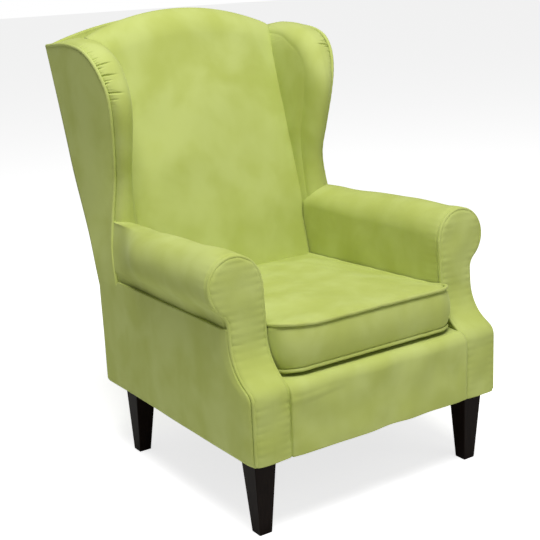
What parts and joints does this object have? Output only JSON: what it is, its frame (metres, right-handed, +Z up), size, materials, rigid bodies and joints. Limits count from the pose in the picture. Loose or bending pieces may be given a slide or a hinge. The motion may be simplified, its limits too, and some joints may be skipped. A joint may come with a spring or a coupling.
{
  "type": "wingback armchair",
  "caption": "Upholstered wingback armchair with arched back, padded wings, rolled scroll arms, loose box cushion and tapered wooden legs.",
  "frame": {"origin": "on the floor, under the middle of the chair's overall box", "axes": "+Z up, the chair faces -Y, +X to the right seen from in front"},
  "size_m": [0.7776, 0.907, 1.1023],
  "materials": {
    "cover_fabric": "lime green microsuede, soft nap",
    "dark_wood": "dark brown satin stain",
    "frame_wood": "planed beech, unfinished",
    "plywood": "plywood, unfinished",
    "foam": "open-cell foam",
    "webbing": "woven elastic webbing",
    "dust_cloth": "black non-woven cloth",
    "steel": "zinc-plated steel"
  },
  "bodies": {
    "chair": {"arm_facing_left": "cover_fabric", "arm_facing_right": "cover_fabric", "arm_pad_left": "cover_fabric", "arm_pad_right": "cover_fabric", "arm_rail_left": "frame_wood", "arm_rail_right": "frame_wood", "arm_side_panel_left": "cover_fabric", "arm_side_panel_right": "cover_fabric", "back_cross_rail": "frame_wood", "back_post_left": "frame_wood", "back_post_right": "frame_wood", "back_top_rail": "frame_wood", "back_webbing": "webbing", "corner_blocks": "frame_wood", "dust_cover": "dust_cloth", "facing_piping_left": "cover_fabric", "facing_piping_right": "cover_fabric", "front_post_left": "frame_wood", "front_post_right": "frame_wood", "front_rail_cover": "cover_fabric", "front_seat_rail": "frame_wood", "inside_back_pad": "cover_fabric", "leg_bolts": "steel", "leg_front_left": "dark_wood", "leg_front_right": "dark_wood", "leg_plates": "steel", "leg_rear_left": "dark_wood", "leg_rear_right": "dark_wood", "lower_arm_rail_left": "frame_wood", "lower_arm_rail_right": "frame_wood", "outside_back_panel": "cover_fabric", "rear_seat_rail": "frame_wood", "seat_deck_pad": "cover_fabric", "seat_springs": "steel", "side_seat_rail_left": "frame_wood", "side_seat_rail_right": "frame_wood", "spring_clips": "steel", "wing_board_left": "plywood", "wing_board_right": "plywood", "wing_pad_left": "cover_fabric", "wing_pad_right": "cover_fabric", "wing_side_panel_left": "cover_fabric", "wing_side_panel_right": "cover_fabric"},
    "cushion": {"seat_cushion_cover": "cover_fabric", "seat_cushion_foam": "foam"}
  },
  "joints": [
    {"name": "cushion_lift", "type": "slide", "parent": "chair", "child": "cushion", "axis": [0, 0, 1], "range_m": [0, 0.34]}
  ]
}
